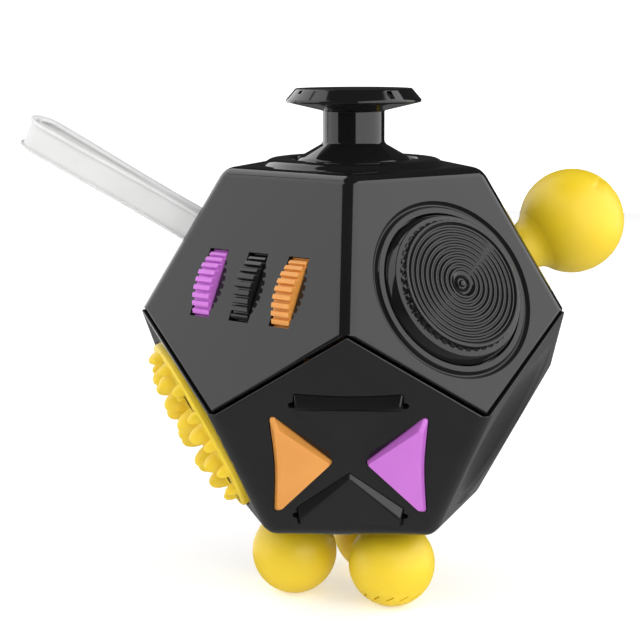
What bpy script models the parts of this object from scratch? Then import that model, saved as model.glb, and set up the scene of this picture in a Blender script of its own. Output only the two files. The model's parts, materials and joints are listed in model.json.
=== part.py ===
# Twelve-sided fidget cube: a dodecahedral casing with a different toy on each face.
# Sizes are in millimetres and every mesh is made through MM, which turns them into metres.
# Each face carries an empty whose +X runs level, whose +Y climbs the face and whose +Z points out.

import bmesh
import bpy
from math import atan, cos, pi, radians, sin, sqrt
from mathutils import Matrix, Vector

MM = 0.001
GAP = 0.3  # between pieces that touch or run in each other
THREAD_GAP = 0.3  # between a screw and its pilot hole

# Casing
across_flats = 50.0
wall = 2.0
edge_round = 1.5
rim_round = 0.55
seam_gap = 0.36
body_offset = 5.924  # from the middle of the whole object's box, because the strap reaches furthest

# Joystick on the top face
stick_pivot_depth = 6.0
stick_cap_r = 9.56
stick_neck_r = 4.3
skirt_r = 10.5
skirt_wall = 1.2
skirt_edge_angle = 70.0
bezel_r = 13.2
bezel_height = 1.1
bezel_hole_r = 9.1
shell_hole_r = 10.2
stick_boss_ring_r = 12.3
boss_r = 1.4
pilot_r = 0.7 + THREAD_GAP

# Gear wheels on the upper left face
wheel_r = 7.5
wheel_root_r = 7.05
wheel_teeth = 42
wheel_width = 3.0
wheel_pitch = 7.0
wheel_axle_depth = 6.1
wheel_axle_r = 1.0
wheel_level = -1.15

# Dial on the upper right face
dial_base_r = 10.2
dial_level = -1.25
dial_hub_r = 3.0
dial_recess = 1.0
dial_ring_r = 11.95
dial_ring_width = 0.8

# Four press buttons on the front face
button_level = -1.4
button_rise = 1.2
button_depth = 5.0
button_flange = 0.65
button_corner_r = 0.5
dome_height = 2.7
backplate_thick = 1.2

# Soft balls, strap and pad
squeeze_ball_r = 7.7
squeeze_ball_out = 12.3
base_ball_r = 6.2
base_ball_out = 6.6
base_ball_ring_r = 8.8
strap_thick = 1.7
strap_width = 4.8
strap_level = 2.1
strap_tip = 35.4
strap_pin_depth = 4.4
strap_pin_r = 1.2
strap_half_gap = ((0.0, 1.15), (6.0, 0.75), (19.0, 1.2))  # distance out, half the space between legs
strap_end_gap = 1.5
pad_r = 13.0
pad_rise = 0.9
pad_recess = 0.8

# Thumb dish on the right face
dish_r = 11.6
dish_depth = 2.2

# Rocker, slider and roller ball on the faces behind
rocker_size = (6.2, 12.2)
rocker_pivot_depth = 4.2
slider_r = 4.6
slider_travel = 3.5
slider_stem_r = 2.2
roller_r = 6.0
roller_depth = 3.5

half = across_flats / 2
body_centre = Vector((body_offset, 0, half + base_ball_out + base_ball_r))
edge = across_flats / sqrt(2.5 + 1.1 * sqrt(5))
corner_ring_r = edge / (2 * sin(radians(36)))
face_tilt = atan(0.5)

paints = {
    "gloss_black": ((0.012, 0.012, 0.013), 0.16, 0.0),
    "inner_black": ((0.03, 0.03, 0.032), 0.5, 0.0),
    "yellow_silicone": ((0.86, 0.66, 0.03), 0.45, 0.0),
    "orange_plastic": ((0.9, 0.36, 0.07), 0.35, 0.0),
    "purple_plastic": ((0.62, 0.17, 0.72), 0.35, 0.0),
    "white_silicone": ((0.85, 0.85, 0.84), 0.4, 0.0),
    "grey_rubber": ((0.2, 0.2, 0.21), 0.7, 0.0),
    "steel": ((0.6, 0.6, 0.62), 0.3, 1.0),
}


def clear_scene():
    for item in list(bpy.data.objects):
        bpy.data.objects.remove(item)


def make_paint(name):
    colour, roughness, metallic = paints[name]
    paint = bpy.data.materials.new(name)
    paint.use_nodes = True
    shader = paint.node_tree.nodes["Principled BSDF"]
    shader.inputs["Base Color"].default_value = (*colour, 1.0)
    shader.inputs["Roughness"].default_value = roughness
    shader.inputs["Metallic"].default_value = metallic
    return paint


clear_scene()
pieces = bpy.data.collections.new("Fidget cube")
cutters = bpy.data.collections.new("Cutters")
bpy.context.scene.collection.children.link(pieces)
bpy.context.scene.collection.children.link(cutters)
made_paints = {name: make_paint(name) for name in paints}

body = bpy.data.objects.new("body_centre", None)
body.location = body_centre * MM
pieces.objects.link(body)


# ---- places ----

def around(radius, azimuth, height=0.0):
    turn = radians(azimuth)
    return Vector((radius * sin(turn), -radius * cos(turn), height))


def face_empty(name, azimuth, side):
    # side is 2 for the top, 1 for an upper face, -1 for a lower face and -2 for the bottom
    if abs(side) == 2:
        out = Vector((0, 0, side / 2))
        level = Vector((1, 0, 0))
    else:
        out = around(cos(face_tilt), azimuth, side * sin(face_tilt))
        level = Vector((cos(radians(azimuth)), sin(radians(azimuth)), 0))
    climb = out.cross(level)
    empty = bpy.data.objects.new(name, None)
    empty.parent = body
    basis = Matrix((level, climb, out)).transposed().to_4x4()
    empty.matrix_basis = Matrix.Translation(out * half * MM) @ basis
    pieces.objects.link(empty)
    return empty


def put(item, face, place=(0, 0, 0), turn=(0, 0, 0)):
    item.parent = face
    item.location = Vector(place) * MM
    item.rotation_euler = [radians(angle) for angle in turn]
    return item


def piece(name, mesh, paint, face, place=(0, 0, 0), turn=(0, 0, 0)):
    item = bpy.data.objects.new(name, mesh)
    mesh.materials.append(made_paints[paint])
    pieces.objects.link(item)
    return put(item, face, place, turn)


def cutter(name, mesh, face, place=(0, 0, 0), turn=(0, 0, 0)):
    item = bpy.data.objects.new(name, mesh)
    cutters.objects.link(item)
    item.hide_render = True
    item.display_type = 'WIRE'
    return put(item, face, place, turn)


# ---- shapes ----

def mesh_of(name, bm):
    mesh = bpy.data.meshes.new(name)
    bm.to_mesh(mesh)
    bm.free()
    return mesh


def rod(radius, length, sides=16, top_radius=None):
    bm = bmesh.new()
    top = radius if top_radius is None else top_radius
    bmesh.ops.create_cone(bm, cap_ends=True, segments=sides, radius1=radius * MM,
                          radius2=top * MM, depth=length * MM)
    return mesh_of("rod", bm)


def block(across, up, thick):
    bm = bmesh.new()
    bmesh.ops.create_cube(bm, size=MM)
    bmesh.ops.scale(bm, vec=(across, up, thick), verts=bm.verts)
    return mesh_of("block", bm)


def ball(radius, segments=20):
    bm = bmesh.new()
    bmesh.ops.create_uvsphere(bm, u_segments=segments, v_segments=segments // 2, radius=radius * MM)
    return mesh_of("ball", bm)


def profile_mesh(profile, ring=False):
    # (radius, height) points, from the top down the outer side
    mesh = bpy.data.meshes.new("profile")
    points = [(radius * MM, 0, height * MM) for radius, height in profile]
    links = [(k, k + 1) for k in range(len(points) - 1)]
    if ring:
        links.append((len(points) - 1, 0))
    mesh.from_pydata(points, links, [])
    return mesh


def spin(item, sides=32):
    turn = item.modifiers.new("Turn", 'SCREW')
    turn.angle = 2 * pi
    turn.steps = sides
    turn.render_steps = sides
    turn.use_merge_vertices = True
    turn.merge_threshold = 0.00001
    turn.use_smooth_shade = True
    return item


def arc(radius, start, end, steps, centre=(0.0, 0.0)):
    # points on a circle, angles in degrees from the height axis towards the radius axis
    angles = [radians(start + (end - start) * k / steps) for k in range(steps + 1)]
    return [(centre[0] + radius * sin(a), centre[1] + radius * cos(a)) for a in angles]


def plate(outlines, thick):
    # its top edges carry the bevel weight
    curve = bpy.data.curves.new("outline", 'CURVE')
    curve.dimensions = '2D'
    curve.fill_mode = 'BOTH'
    curve.extrude = thick * MM / 2
    for outline in outlines:
        spline = curve.splines.new('POLY')
        spline.points.add(len(outline) - 1)
        for point, (x, y) in zip(spline.points, outline):
            point.co = (x * MM, y * MM, 0, 1)
        spline.use_cyclic_u = True
    guide = bpy.data.objects.new("outline", curve)
    cutters.objects.link(guide)
    graph = bpy.context.evaluated_depsgraph_get()
    mesh = bpy.data.meshes.new_from_object(guide.evaluated_get(graph))
    bpy.data.objects.remove(guide)
    bm = bmesh.new()
    bm.from_mesh(mesh)
    bmesh.ops.remove_doubles(bm, verts=bm.verts, dist=0.000001)
    bmesh.ops.recalc_face_normals(bm, faces=bm.faces)
    bmesh.ops.dissolve_limit(bm, angle_limit=radians(0.5), verts=bm.verts, edges=bm.edges)
    weight = bm.edges.layers.float.new("bevel_weight_edge")
    for item in bm.edges:
        item[weight] = 1.0 if min(vert.co.z for vert in item.verts) > 0 else 0.0
    return mesh_of("plate", bm)


def coil(radius, wire_r, bottom, top, turns, points_a_turn=9):
    curve = bpy.data.curves.new("coil", 'CURVE')
    curve.dimensions = '3D'
    curve.bevel_depth = wire_r * MM
    curve.bevel_resolution = 1
    curve.use_fill_caps = True
    spline = curve.splines.new('POLY')
    count = int(turns * points_a_turn)
    spline.points.add(count)
    for k, point in enumerate(spline.points):
        turn = 2 * pi * k / points_a_turn
        height = bottom + (top - bottom) * k / count
        point.co = (radius * cos(turn) * MM, radius * sin(turn) * MM, height * MM, 1)
    return curve


def soften(item, width, segments=1, weighted=False):
    bevel = item.modifiers.new("Round", 'BEVEL')
    bevel.width = width * MM
    bevel.segments = segments
    bevel.limit_method = 'WEIGHT' if weighted else 'ANGLE'
    bevel.angle_limit = radians(40)
    return item


def combine(item, operation, others):
    for other in others:
        step = item.modifiers.new(operation.title(), 'BOOLEAN')
        step.operation = operation
        step.solver = 'EXACT'
        step.object = other


def cut(item, *others):
    combine(item, 'DIFFERENCE', others)


def join(item, *others):
    combine(item, 'UNION', others)


def screw(name, face, place, turn=(0, 0, 0), shank_r=0.7, shank=4.0, head_r=1.3, head=0.9):
    # the head's underside is at the origin and the shank runs along +Z
    profile = [(0, shank), (shank_r, shank), (shank_r, 0), (head_r, 0), (head_r, -head), (0, -head)]
    return spin(piece(name, profile_mesh(profile), "steel", face, place, turn), 12)


# ---- casing ----

def casing_half(name, side):
    golden = (1 + sqrt(5)) / 2
    belt = half - corner_ring_r
    bm = bmesh.new()
    for k in range(5):
        bm.verts.new(around(corner_ring_r, 72 * k, half) * MM)
        bm.verts.new(around(golden * corner_ring_r, 72 * k, belt) * MM)
        bm.verts.new(around(golden * corner_ring_r, 72 * k + 36, -belt) * MM)
        bm.verts.new(around(corner_ring_r, 72 * k + 36, -half) * MM)
    bmesh.ops.convex_hull(bm, input=bm.verts)
    bmesh.ops.dissolve_limit(bm, angle_limit=radians(1), verts=bm.verts, edges=bm.edges)
    away = [face for face in bm.faces if face.normal.z * side < 0]
    bmesh.ops.delete(bm, geom=away, context='FACES')
    outer = set(bm.faces)
    lining = bmesh.ops.duplicate(bm, geom=bm.faces[:])["geom"]
    inner_verts = [item for item in lining if isinstance(item, bmesh.types.BMVert)]
    inner_faces = [item for item in lining if isinstance(item, bmesh.types.BMFace)]
    bmesh.ops.scale(bm, vec=Vector((1, 1, 1)) * (1 - wall / half), verts=inner_verts)
    bmesh.ops.reverse_faces(bm, faces=inner_faces)
    bmesh.ops.bridge_loops(bm, edges=[item for item in bm.edges if item.is_boundary])
    bmesh.ops.recalc_face_normals(bm, faces=bm.faces)
    weight = bm.edges.layers.float.new("bevel_weight_edge")
    for item in bm.edges:
        outside = sum(1 for face in item.link_faces if face in outer)
        item[weight] = (0.0, rim_round / edge_round, 1.0)[outside]
    return mesh_of(name, bm)


top = face_empty("top_face", 0, 2)
wheel_face = face_empty("wheel_face", -36, 1)
dial_face = face_empty("dial_face", 36, 1)
ball_face = face_empty("ball_face", 108, 1)
strap_face = face_empty("strap_face", -108, 1)
rocker_face = face_empty("rocker_face", 180, 1)
button_face = face_empty("button_face", 0, -1)
pad_face = face_empty("pad_face", -72, -1)
dish_face = face_empty("dish_face", 72, -1)
slider_face = face_empty("slider_face", -144, -1)
roller_face = face_empty("roller_face", 144, -1)
bottom = face_empty("bottom_face", 0, -2)

upper_shell = piece("upper_shell", casing_half("upper_shell", 1), "gloss_black", body,
                    (0, 0, seam_gap / 2))
lower_shell = piece("lower_shell", casing_half("lower_shell", -1), "gloss_black", body,
                    (0, 0, -seam_gap / 2))
soften(upper_shell, edge_round, 2, weighted=True)
soften(lower_shell, edge_round, 2, weighted=True)


def drill(name, face, radius, place=(0, 0), top_out=1.0, length=6.0, sides=24):
    mesh = rod(radius, length, sides)
    return cutter(name, mesh, face, (place[0], place[1], top_out - length / 2))


# ---- joystick ----

def build_joystick():
    pivot = (0, 0, -stick_pivot_depth)
    rise = stick_pivot_depth
    inner_r = skirt_r - skirt_wall

    collar = [(bezel_hole_r, bezel_height), (bezel_r - 0.9, bezel_height), (bezel_r - 0.25, bezel_height - 0.3),
              (bezel_r, bezel_height - 0.8), (bezel_r, -1.0), (bezel_hole_r, -1.0)]
    raised = spin(cutter("bezel_ring", profile_mesh(collar, ring=True), top), 32)
    boss_places = [around(stick_boss_ring_r, azimuth) for azimuth in (0, 144, -144)]
    boss_foot = -9.2
    bosses = [cutter("stick_boss", rod(boss_r, -boss_foot - wall / 2, 12), top,
                     (x, y, (boss_foot - wall / 2) / 2)) for x, y, _ in boss_places]
    join(upper_shell, raised, *bosses)
    cut(upper_shell, drill("bezel_hole", top, bezel_hole_r, top_out=bezel_height + 2, length=8, sides=32))
    cut(upper_shell, drill("skirt_room", top, shell_hole_r, top_out=0, length=4, sides=32))
    cut(upper_shell, *[drill("stick_pilot", top, pilot_r, (x, y), top_out=-5.2, length=5, sides=10)
                       for x, y, _ in boss_places])

    cap = [(0, 10.55 + rise), (6.6, 10.6 + rise), (7.6, 10.8 + rise), (8.33, 10.8 + rise),
           (stick_cap_r, 9.19 + rise), (stick_cap_r - 0.25, 8.85 + rise), (stick_neck_r + 0.5, 7.66 + rise),
           (stick_neck_r, 7.3 + rise), (stick_neck_r, 3.14 + rise)]
    cap += arc(skirt_r, 47, skirt_edge_angle, 3)
    cap += arc(inner_r, skirt_edge_angle, 50, 2)
    cap += [(4.0, 7.4), (1.8, 7.9), (1.8, 13.5), (0, 13.5)]
    spin(piece("joystick_cap", profile_mesh(cap), "gloss_black", top, pivot), 28)

    post = [(0, 13.2), (1.5, 13.2), (1.5, 2.0), (2.6, 2.0), (2.6, -2.0), (1.5, -2.0), (1.5, -3.0), (0, -3.0)]
    stem = spin(piece("joystick_post", profile_mesh(post), "inner_black", top, pivot), 16)
    cut(stem, cutter("post_bore", rod(1.2, 8, 12), top, pivot, (90, 0, 0)))
    piece("joystick_cross_pin", rod(0.9, 11.8, 12), "steel", top, pivot, (90, 0, 0))

    hoop = [(4.2, 1.3), (6.2, 1.3), (6.2, -1.3), (4.2, -1.3)]
    gimbal = spin(piece("joystick_gimbal", profile_mesh(hoop, ring=True), "inner_black", top, pivot), 24)
    join(gimbal, *[cutter("trunnion", rod(0.9, 3.0, 12), top, (side * 6.5, 0, pivot[2]), (0, 90, 0))
                   for side in (-1, 1)])
    cut(gimbal, cutter("gimbal_bore", rod(1.2, 16, 12), top, pivot, (90, 0, 0)))

    flange_top, flange_low, floor_low = -9.5, -10.8, -16.3
    cup = [(0, floor_low + 0.8), (4.6, floor_low + 0.8), (4.6, flange_top), (13.8, flange_top),
           (13.8, flange_low), (5.4, flange_low), (5.4, floor_low), (0, floor_low)]
    housing = spin(piece("joystick_housing", profile_mesh(cup), "inner_black", top), 24)
    ear_top = pivot[2] + 1.7
    for side in (-1, 1):
        ear = cutter("ear", block(1.5, 3.6, ear_top - flange_low), top,
                     (side * 7.45, 0, (ear_top + flange_low) / 2))
        join(housing, ear)
    cut(housing, cutter("ear_bore", rod(1.2, 20, 12), top, pivot, (0, 90, 0)))
    for x, y, _ in boss_places:
        cut(housing, drill("flange_hole", top, pilot_r, (x, y), top_out=-8, length=4, sides=10))
    for k, (x, y, _) in enumerate(boss_places):
        screw("joystick_screw_%d" % (k + 1), top, (x, y, flange_low - GAP))

    spring = bpy.data.objects.new("joystick_spring", coil(2.2, 0.25, floor_low + 1.4, -10.1, 4.5))
    spring.data.materials.append(made_paints["steel"])
    pieces.objects.link(spring)
    put(spring, top)


# ---- gear wheels ----

def gear_outline(outer_r, root_r, teeth):
    outline = []
    for k in range(teeth):
        for share, radius in ((-0.36, root_r), (-0.29, outer_r), (0.29, outer_r), (0.36, root_r)):
            turn = 2 * pi * (k + share) / teeth
            outline.append((radius * cos(turn), radius * sin(turn)))
    return outline


def circle(radius, sides):
    return [(radius * cos(2 * pi * k / sides), radius * sin(2 * pi * k / sides)) for k in range(sides)]


def build_wheels():
    outline = gear_outline(wheel_r, wheel_root_r, wheel_teeth)
    mesh = plate([outline, circle(wheel_axle_r + GAP, 14)], wheel_width)
    plan = (("left", -1, "purple_plastic"), ("middle", 0, "gloss_black"), ("right", 1, "orange_plastic"))
    for name, step, paint in plan:
        place = (step * wheel_pitch, wheel_level, -wheel_axle_depth)
        piece("gear_wheel_" + name, mesh.copy(), paint, wheel_face, place, (0, 90, 0))
        slot = cutter("wheel_slot", rod(wheel_r + 0.35, wheel_width + 0.4, 36), wheel_face, place, (0, 90, 0))
        cut(upper_shell, slot)
    axle_place = (0, wheel_level, -wheel_axle_depth)
    piece("gear_axle", rod(wheel_axle_r, 22.2, 14), "steel", wheel_face, axle_place, (0, 90, 0))
    base_top = -wheel_axle_depth - wheel_r - 0.9
    cradle = piece("gear_cradle", block(22.4, 5.0, 1.2), "inner_black", wheel_face,
                   (0, wheel_level, base_top - 0.6))
    cheek_top = -wall - GAP
    cheek_low = base_top - 1.2
    for side in (-1, 1):
        cheek = cutter("cheek", block(1.3, 5.0, cheek_top - cheek_low), wheel_face,
                       (side * 10.55, wheel_level, (cheek_top + cheek_low) / 2))
        join(cradle, cheek)
    cut(cradle, cutter("cheek_bore", rod(wheel_axle_r + GAP, 26, 14), wheel_face, axle_place, (0, 90, 0)))
    piece("gear_click_leaf", block(18.8, 3.0, 0.25), "steel", wheel_face,
          (0, wheel_level, base_top + GAP + 0.125))


# ---- dial ----

def build_dial():
    place = (0.2, dial_level, 0)
    profile = [(0, 3.25), (8.0, 3.2), (8.45, 3.0), (8.9, 1.95), (9.4, 1.8), (dial_base_r, 0.0),
               (dial_base_r, GAP - dial_recess), (dial_hub_r, GAP - dial_recess), (dial_hub_r, -2.35),
               (pilot_r, -2.35), (pilot_r, 1.2), (0, 1.2)]
    spin(piece("dial_knob", profile_mesh(profile), "gloss_black", dial_face, place), 36)
    washer = [(pilot_r, -2.65), (5.5, -2.65), (5.5, -3.4), (pilot_r, -3.4)]
    spin(piece("dial_washer", profile_mesh(washer, ring=True), "inner_black", dial_face, place), 24)
    screw("dial_screw", dial_face, (place[0], place[1], -3.7), shank=4.4, head_r=1.8)
    cut(upper_shell,
        drill("dial_seat", dial_face, dial_base_r + GAP, place, top_out=2, length=2 + dial_recess, sides=36),
        drill("dial_hole", dial_face, dial_hub_r + GAP, place, sides=20))
    inner_r = dial_ring_r - dial_ring_width / 2
    outer_r = dial_ring_r + dial_ring_width / 2
    groove = [(inner_r, 1.0), (outer_r, 1.0), (outer_r, -0.5), (inner_r, -0.5)]
    cut(upper_shell, spin(cutter("dial_groove", profile_mesh(groove, ring=True), dial_face, place), 36))


# ---- press buttons ----

def rounded(corners, radius, steps=3):
    outline = []
    count = len(corners)
    for k, corner in enumerate(corners):
        here = Vector(corner)
        back = (Vector(corners[k - 1]) - here).normalized()
        ahead = (Vector(corners[(k + 1) % count]) - here).normalized()
        spread = back.angle(ahead) / 2
        centre = here + (back + ahead).normalized() * radius / sin(spread)
        start = here + back * radius * cos(spread) / sin(spread) - centre
        end = here + ahead * radius * cos(spread) / sin(spread) - centre
        turn = start.angle_signed(end)
        for step in range(steps + 1):
            point = centre + start.slerp(end, step / steps) if abs(turn) > 0.01 else here
            outline.append((point.x, point.y))
    return outline


def button_outline(points, grow=0.0):
    # the corners, the point that pulls the outer side in, and the apex, every side moved out by grow
    grown = []
    for k, point in enumerate(points):
        here = Vector(point)
        back = (Vector(points[k - 1]) - here).normalized()
        ahead = (Vector(points[(k + 1) % len(points)]) - here).normalized()
        reach = grow / sin(back.angle(ahead) / 2)
        convex = ahead.cross(back) > 0
        grown.append(here + (back + ahead).normalized() * (-reach if convex else reach))
    return rounded(grown, button_corner_r + grow)


button_plan = {
    "left": ("orange_plastic", [(-10.2, 7.5), (-9.7, -1.0), (-10.2, -9.6), (-2.4, -0.4)]),
    "right": ("purple_plastic", [(10.2, -9.6), (9.7, -1.0), (10.2, 7.5), (2.4, -0.4)]),
    "top": ("gloss_black", [(7.1, 10.9), (0.0, 10.4), (-7.1, 10.9), (0.0, 2.3)]),
    "bottom": ("gloss_black", [(-7.2, -9.0), (-7.0, -11.5), (0.0, -11.1), (7.0, -11.5), (7.2, -9.0),
                               (0.0, -2.8)]),
}


def build_buttons():
    dome_top = -button_depth - GAP
    backplate_top = dome_top - dome_height - GAP
    for name, (paint, points) in button_plan.items():
        centre = sum((Vector(point) for point in points), Vector((0, 0))) / len(points)
        centre.y += button_level
        local = [(x - centre.x, y + button_level - centre.y) for x, y in points]
        height = button_depth + button_rise
        mesh = plate([button_outline(local)], height)
        middle = (button_rise - button_depth) / 2
        key = piece("button_" + name, mesh, paint, button_face, (centre.x, centre.y, middle))
        soften(key, 0.7, 2, weighted=True)
        flange = cutter("button_flange", plate([button_outline(local, button_flange)], 0.9), button_face,
                        (centre.x, centre.y, -wall - GAP - 0.45))
        join(key, flange)
        window = cutter("button_window", plate([button_outline(local, GAP)], 8), button_face,
                        (centre.x, centre.y, 0))
        cut(lower_shell, window)
        rubber = [(0, 0), (1.3, 0), (1.9, -0.8), (2.6, -dome_height), (1.8, -dome_height), (1.1, -1.0), (0, -0.8)]
        spin(piece("button_dome_" + name, profile_mesh(rubber), "grey_rubber", button_face,
                   (centre.x, centre.y, dome_top)), 16)
    outline = rounded([(14.7, 3.0), (11.0, 9.0), (-11.0, 9.0), (-14.7, 3.0), (-14.7, -2.6), (-10.0, -10.4),
                       (10.0, -10.4), (14.7, -2.6)], 1.2)
    backplate = piece("button_backplate", plate([outline], backplate_thick), "inner_black", button_face,
                      (0, button_level, backplate_top - backplate_thick / 2))
    soften(backplate, 0.4)
    post_low = backplate_top + GAP
    for name, side in (("left", -1), ("right", 1)):
        place = (side * 13.0, button_level)
        join(lower_shell, cutter("plate_boss", rod(boss_r, -post_low - wall / 2, 12), button_face,
                                 (*place, (post_low - wall / 2) / 2)))
        cut(lower_shell, drill("plate_pilot", button_face, pilot_r, place, top_out=-4.2, length=6, sides=10))
        cut(backplate, drill("plate_hole", button_face, pilot_r, place, top_out=-6, length=6, sides=10))
        screw("backplate_screw_" + name, button_face, (*place, backplate_top - backplate_thick - GAP))


# ---- massage pad ----

def nub(radius, height):
    return [(0, height), (radius * 0.45, height * 0.9), (radius * 0.85, height * 0.5), (radius * 1.03, -0.45),
            (0, -0.45)]


def build_pad():
    foot = GAP - pad_recess
    profile = [(0, pad_rise), (pad_r - 0.6, pad_rise), (pad_r - 0.15, pad_rise - 0.2), (pad_r, pad_rise - 0.6),
               (pad_r, foot), (3.0, foot), (3.0, -2.6), (2.4, -2.6), (2.4, -4.0), (0, -4.0)]
    pad = spin(piece("massage_pad", profile_mesh(profile), "yellow_silicone", pad_face), 24)
    rows = ((0.0, 1, 1.9, 3.0), (4.7, 6, 1.7, 2.8), (8.5, 11, 1.5, 2.4), (11.3, 14, 0.9, 1.5))
    for ring_r, count, radius, height in rows:
        for k in range(count):
            x, y, _ = around(ring_r, 360 * k / count)
            peak = cutter("nub", profile_mesh(nub(radius, height)), pad_face, (x, y, pad_rise))
            join(pad, spin(peak, 6))
    clip = [(2.4 + GAP, -2.6 - GAP), (5.0, -2.6 - GAP), (5.0, -3.7), (2.4 + GAP, -3.7)]
    spin(piece("pad_clip", profile_mesh(clip, ring=True), "steel", pad_face), 20)
    cut(lower_shell,
        drill("pad_seat", pad_face, pad_r + GAP, top_out=2, length=2 + pad_recess, sides=24),
        drill("pad_hole", pad_face, 3.0 + GAP, sides=16))


# ---- soft balls ----

def soft_ball(name, face, place, radius, out, neck_r, flare, sides, shell):
    join_angle = 180 - 180 / pi * (neck_r + flare) / radius
    profile = arc(radius, 0, join_angle, 8, (0, out))
    profile[0] = (0, out + radius)
    profile += [(neck_r, max(GAP, profile[-1][1] - flare)), (neck_r, -wall - GAP), (neck_r + 1.6, -wall - GAP),
                (neck_r + 1.6, -wall - GAP - 1.1), (0, -wall - GAP - 1.1)]
    item = spin(piece(name, profile_mesh(profile), "yellow_silicone", face, (*place, 0)), sides)
    cut(shell, drill(name + "_hole", face, neck_r + GAP, place, sides=18))
    return item


def build_balls():
    soft_ball("squeeze_ball", ball_face, (0, -0.8), squeeze_ball_r, squeeze_ball_out, 3.5, 0.6, 22, upper_shell)
    for k, azimuth in enumerate((40, -80, 160)):
        x, y, _ = around(base_ball_ring_r, azimuth)
        soft_ball("base_ball_%d" % (k + 1), bottom, (x, -y), base_ball_r, base_ball_out, 2.5, 0.2, 18,
                  lower_shell)


# ---- strap ----

def strap_outline(extra):
    # one contour of the loop in the plane of its legs, extra outside the space between them
    tip_centre = strap_tip - strap_thick - strap_end_gap
    root_r = strap_pin_r + GAP + extra
    tip_r = strap_end_gap + extra
    right = [(half_gap + extra, out) for out, half_gap in strap_half_gap]
    left = [(-x, out) for x, out in reversed(right)]
    tip = arc(tip_r, 90, -90, 8, (0, tip_centre))
    root = arc(root_r, 270, 90, 8, (0, -strap_pin_depth))
    return right + tip + left + root


def build_strap():
    mesh = plate([strap_outline(strap_thick), strap_outline(0.0)], strap_width)
    loop = piece("strap_loop", mesh, "white_silicone", strap_face, (0, strap_level, 0), (90, 0, 0))
    soften(loop, 0.25)
    pin_place = (0, strap_level, -strap_pin_depth)
    piece("strap_pin", rod(strap_pin_r, 9.0, 14), "steel", strap_face, pin_place, (90, 0, 0))
    slot_width = 2 * (strap_pin_r + GAP + strap_thick + GAP)
    cut(upper_shell, cutter("strap_slot", block(slot_width, strap_width + 2 * GAP, 8), strap_face,
                            (0, strap_level, 0)))


# ---- thumb dish ----

def build_dish():
    backing_low = -dish_depth - wall
    join(lower_shell, cutter("dish_backing", rod(dish_r + 1.2, -backing_low - wall / 2, 32), dish_face,
                             (0, 0, (backing_low - wall / 2) / 2)))
    ball_r = (dish_r ** 2 + dish_depth ** 2) / (2 * dish_depth)
    dish = [(0, 3.0), (dish_r + 1.6, 3.0), (dish_r + 1.1, 0.05), (dish_r + 0.35, -0.08)]
    share = [0.93, 0.75, 0.5, 0.25]
    dish += [(dish_r * s, ball_r - dish_depth - sqrt(ball_r ** 2 - (dish_r * s) ** 2)) for s in share]
    dish.append((0, -dish_depth))
    cut(lower_shell, spin(cutter("dish_bowl", profile_mesh(dish), dish_face), 32))


# ---- rocker, slider and roller ----

def build_rocker():
    across, along = rocker_size
    pivot = (0, 0, -rocker_pivot_depth)
    paddle = piece("rocker_paddle", block(across, along, 7.9), "orange_plastic", rocker_face, (0, 0, -2.45))
    soften(paddle, 0.8, 2)
    cut(paddle, cutter("paddle_bore", rod(1.1, 12, 12), rocker_face, pivot, (0, 90, 0)))
    cut(upper_shell, cutter("rocker_window", block(across + 2 * GAP, along + 2.8, 8), rocker_face))
    piece("rocker_pin", rod(0.8, 10.6, 12), "steel", rocker_face, pivot, (0, 90, 0))
    base_low = -9.6
    bracket = piece("rocker_bracket", block(10.8, 6, 1.0), "inner_black", rocker_face, (0, 0, base_low + 0.5))
    for side in (-1, 1):
        join(bracket, cutter("bracket_cheek", block(1.2, 6, -wall - GAP - base_low), rocker_face,
                             (side * 4.8, 0, (base_low - wall - GAP) / 2)))
    cut(bracket, cutter("bracket_bore", rod(1.1, 14, 12), rocker_face, pivot, (0, 90, 0)))
    spring = bpy.data.objects.new("rocker_spring", coil(1.2, 0.2, base_low + 1.6, -7.0, 2.5))
    spring.data.materials.append(made_paints["steel"])
    pieces.objects.link(spring)
    put(spring, rocker_face)


def build_slider():
    profile = [(0, 1.7), (2.4, 1.8), (slider_r - 0.8, 2.4), (slider_r, 1.8), (slider_r, GAP),
               (slider_stem_r, GAP), (slider_stem_r, -2.35), (pilot_r, -2.35), (pilot_r, 0.8), (0, 0.8)]
    spin(piece("slider_knob", profile_mesh(profile), "purple_plastic", slider_face), 24)
    washer = [(pilot_r, -2.65), (slider_r, -2.65), (slider_r, -3.4), (pilot_r, -3.4)]
    spin(piece("slider_retainer", profile_mesh(washer, ring=True), "inner_black", slider_face), 24)
    screw("slider_screw", slider_face, (0, 0, -3.7), shank=4.0, head_r=1.6)
    wide = slider_stem_r + GAP
    ends = arc(wide, 90, -90, 8, (0, slider_travel)) + arc(wide, 270, 90, 8, (0, -slider_travel))
    cut(lower_shell, cutter("slider_slot", plate([ends], 8), slider_face))


def build_roller():
    piece("roller_ball", ball(roller_r, 18), "yellow_silicone", roller_face, (0, 0, -roller_depth))
    mouth_r = sqrt(roller_r ** 2 - roller_depth ** 2) + GAP
    inner_r = sqrt(roller_r ** 2 - (roller_depth - wall) ** 2) + GAP
    slope = (inner_r - mouth_r) / wall
    reach = wall + 1.0
    cone = rod(inner_r + slope, wall + 2, 32, mouth_r - slope)
    cut(lower_shell, cutter("roller_mouth", cone, roller_face, (0, 0, 1.0 - (wall + 2) / 2)))
    room = roller_r + GAP
    deep = -roller_depth
    cup = arc(room, 180, 80, 6, (0, deep))
    cup[0] = (0, deep - room)
    cup += [(room + 0.1, -wall - GAP), (room + 1.4, -wall - GAP), (room + 1.4, deep - reach),
            (4.4, deep - room - 1.2), (0, deep - room - 1.2)]
    spin(piece("roller_cup", profile_mesh(cup), "inner_black", roller_face), 20)


build_joystick()
build_wheels()
build_dial()
build_buttons()
build_pad()
build_balls()
build_strap()
build_dish()
build_rocker()
build_slider()
build_roller()

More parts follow.
